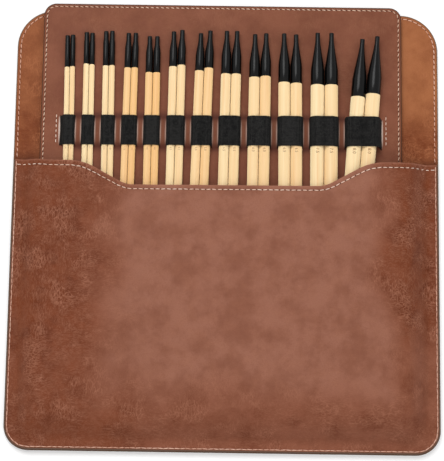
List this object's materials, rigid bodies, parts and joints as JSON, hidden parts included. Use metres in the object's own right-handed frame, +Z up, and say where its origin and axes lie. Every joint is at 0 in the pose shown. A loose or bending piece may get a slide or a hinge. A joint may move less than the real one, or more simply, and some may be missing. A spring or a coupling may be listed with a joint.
{
  "type": "knitting needle case",
  "caption": "Open envelope-style leather case with a pocket, a fold-over flap and a sliding insert whose elastic loops hold pairs of interchangeable bamboo knitting needle tips.",
  "frame": {"origin": "on the underside of the back panel, midway across the case and midway along its open length", "axes": "+X across the case to the right, +Y from the pocket seam to the flap, +Z up out of the surface it lies on"},
  "size_m": [0.2364, 0.25, 0.0173],
  "materials": {
    "case_leather": "brown smooth-grained leather, raw cut edges",
    "lining_leather": "lighter orange-brown split leather lining",
    "insert_leather": "brown smooth leather facing",
    "board": "stiff grey-brown bookboard core",
    "elastic": "black woven elastic webbing",
    "bamboo": "pale polished bamboo",
    "joint_black": "satin black anodised",
    "magnet": "nickel-plated disc magnet"
  },
  "bodies": {
    "sleeve": {"back_shell": "case_leather", "back_lining": "lining_leather", "front_panel": "case_leather", "front_lining": "lining_leather", "front_magnets": "magnet"},
    "flap": {"flap_shell": "case_leather", "flap_lining": "lining_leather", "flap_magnets": "magnet"},
    "insert": {"insert_back": "insert_leather", "insert_board": "board", "insert_face": "insert_leather", "elastic_band": "elastic"},
    "needle_01_left": {"needle_01_left_shaft": "bamboo", "needle_01_left_joint": "joint_black"},
    "needle_01_right": {"needle_01_right_shaft": "bamboo", "needle_01_right_joint": "joint_black"},
    "needle_02_left": {"needle_02_left_shaft": "bamboo", "needle_02_left_joint": "joint_black"},
    "needle_02_right": {"needle_02_right_shaft": "bamboo", "needle_02_right_joint": "joint_black"},
    "needle_03_left": {"needle_03_left_shaft": "bamboo", "needle_03_left_joint": "joint_black"},
    "needle_03_right": {"needle_03_right_shaft": "bamboo", "needle_03_right_joint": "joint_black"},
    "needle_04_left": {"needle_04_left_shaft": "bamboo", "needle_04_left_joint": "joint_black"},
    "needle_04_right": {"needle_04_right_shaft": "bamboo", "needle_04_right_joint": "joint_black"},
    "needle_05_left": {"needle_05_left_shaft": "bamboo", "needle_05_left_joint": "joint_black"},
    "needle_05_right": {"needle_05_right_shaft": "bamboo", "needle_05_right_joint": "joint_black"},
    "needle_06_left": {"needle_06_left_shaft": "bamboo", "needle_06_left_joint": "joint_black"},
    "needle_06_right": {"needle_06_right_shaft": "bamboo", "needle_06_right_joint": "joint_black"},
    "needle_07_left": {"needle_07_left_shaft": "bamboo", "needle_07_left_joint": "joint_black"},
    "needle_07_right": {"needle_07_right_shaft": "bamboo", "needle_07_right_joint": "joint_black"},
    "needle_08_left": {"needle_08_left_shaft": "bamboo", "needle_08_left_joint": "joint_black"},
    "needle_08_right": {"needle_08_right_shaft": "bamboo", "needle_08_right_joint": "joint_black"},
    "needle_09_left": {"needle_09_left_shaft": "bamboo", "needle_09_left_joint": "joint_black"},
    "needle_09_right": {"needle_09_right_shaft": "bamboo", "needle_09_right_joint": "joint_black"},
    "needle_10_left": {"needle_10_left_shaft": "bamboo", "needle_10_left_joint": "joint_black"},
    "needle_10_right": {"needle_10_right_shaft": "bamboo", "needle_10_right_joint": "joint_black"},
    "needle_11_left": {"needle_11_left_shaft": "bamboo", "needle_11_left_joint": "joint_black"},
    "needle_11_right": {"needle_11_right_shaft": "bamboo", "needle_11_right_joint": "joint_black"},
    "needle_12_left": {"needle_12_left_shaft": "bamboo", "needle_12_left_joint": "joint_black"},
    "needle_12_right": {"needle_12_right_shaft": "bamboo", "needle_12_right_joint": "joint_black"}
  },
  "joints": [
    {"name": "flap_fold", "type": "hinge", "parent": "sleeve", "child": "flap", "pos_m": [0, 0.0464, -0.00015], "axis": [1, 0, 0], "range_deg": [-170, 0]},
    {"name": "insert_slide", "type": "slide", "parent": "sleeve", "child": "insert", "axis": [0, 1, 0], "range_m": [-0.085, 0.066]},
    {"name": "needle_01_left_slide", "type": "slide", "parent": "insert", "child": "needle_01_left", "axis": [-0.012, 0.9999, 0], "range_m": [0, 0.085]},
    {"name": "needle_01_right_slide", "type": "slide", "parent": "insert", "child": "needle_01_right", "axis": [-0.012, 0.9999, 0], "range_m": [0, 0.085]},
    {"name": "needle_02_left_slide", "type": "slide", "parent": "insert", "child": "needle_02_left", "axis": [-0.008, 1, 0], "range_m": [0, 0.085]},
    {"name": "needle_02_right_slide", "type": "slide", "parent": "insert", "child": "needle_02_right", "axis": [-0.008, 1, 0], "range_m": [0, 0.085]},
    {"name": "needle_03_left_slide", "type": "slide", "parent": "insert", "child": "needle_03_left", "axis": [-0.009, 1, 0], "range_m": [0, 0.085]},
    {"name": "needle_03_right_slide", "type": "slide", "parent": "insert", "child": "needle_03_right", "axis": [-0.009, 1, 0], "range_m": [0, 0.085]},
    {"name": "needle_04_left_slide", "type": "slide", "parent": "insert", "child": "needle_04_left", "axis": [0.011, 0.9999, 0], "range_m": [0, 0.085]},
    {"name": "needle_04_right_slide", "type": "slide", "parent": "insert", "child": "needle_04_right", "axis": [0.011, 0.9999, 0], "range_m": [0, 0.085]},
    {"name": "needle_05_left_slide", "type": "slide", "parent": "insert", "child": "needle_05_left", "axis": [0.001, 1, 0], "range_m": [0, 0.085]},
    {"name": "needle_05_right_slide", "type": "slide", "parent": "insert", "child": "needle_05_right", "axis": [0.001, 1, 0], "range_m": [0, 0.085]},
    {"name": "needle_06_left_slide", "type": "slide", "parent": "insert", "child": "needle_06_left", "axis": [0.009, 1, 0], "range_m": [0, 0.085]},
    {"name": "needle_06_right_slide", "type": "slide", "parent": "insert", "child": "needle_06_right", "axis": [0.009, 1, 0], "range_m": [0, 0.085]},
    {"name": "needle_07_left_slide", "type": "slide", "parent": "insert", "child": "needle_07_left", "axis": [0.026, 0.9997, 0], "range_m": [0, 0.085]},
    {"name": "needle_07_right_slide", "type": "slide", "parent": "insert", "child": "needle_07_right", "axis": [0.026, 0.9997, 0], "range_m": [0, 0.085]},
    {"name": "needle_08_left_slide", "type": "slide", "parent": "insert", "child": "needle_08_left", "axis": [0.013, 0.9999, 0], "range_m": [0, 0.085]},
    {"name": "needle_08_right_slide", "type": "slide", "parent": "insert", "child": "needle_08_right", "axis": [0.013, 0.9999, 0], "range_m": [0, 0.085]},
    {"name": "needle_09_left_slide", "type": "slide", "parent": "insert", "child": "needle_09_left", "axis": [0.008, 1, 0], "range_m": [0, 0.085]},
    {"name": "needle_09_right_slide", "type": "slide", "parent": "insert", "child": "needle_09_right", "axis": [0.008, 1, 0], "range_m": [0, 0.085]},
    {"name": "needle_10_left_slide", "type": "slide", "parent": "insert", "child": "needle_10_left", "axis": [-0.007, 1, 0], "range_m": [0, 0.085]},
    {"name": "needle_10_right_slide", "type": "slide", "parent": "insert", "child": "needle_10_right", "axis": [-0.007, 1, 0], "range_m": [0, 0.085]},
    {"name": "needle_11_left_slide", "type": "slide", "parent": "insert", "child": "needle_11_left", "axis": [0.002, 1, 0], "range_m": [0, 0.085]},
    {"name": "needle_11_right_slide", "type": "slide", "parent": "insert", "child": "needle_11_right", "axis": [0.002, 1, 0], "range_m": [0, 0.085]},
    {"name": "needle_12_left_slide", "type": "slide", "parent": "insert", "child": "needle_12_left", "axis": [0.0758, 0.9971, 0], "range_m": [0, 0.085]},
    {"name": "needle_12_right_slide", "type": "slide", "parent": "insert", "child": "needle_12_right", "axis": [0.0758, 0.9971, 0], "range_m": [0, 0.085]}
  ]
}
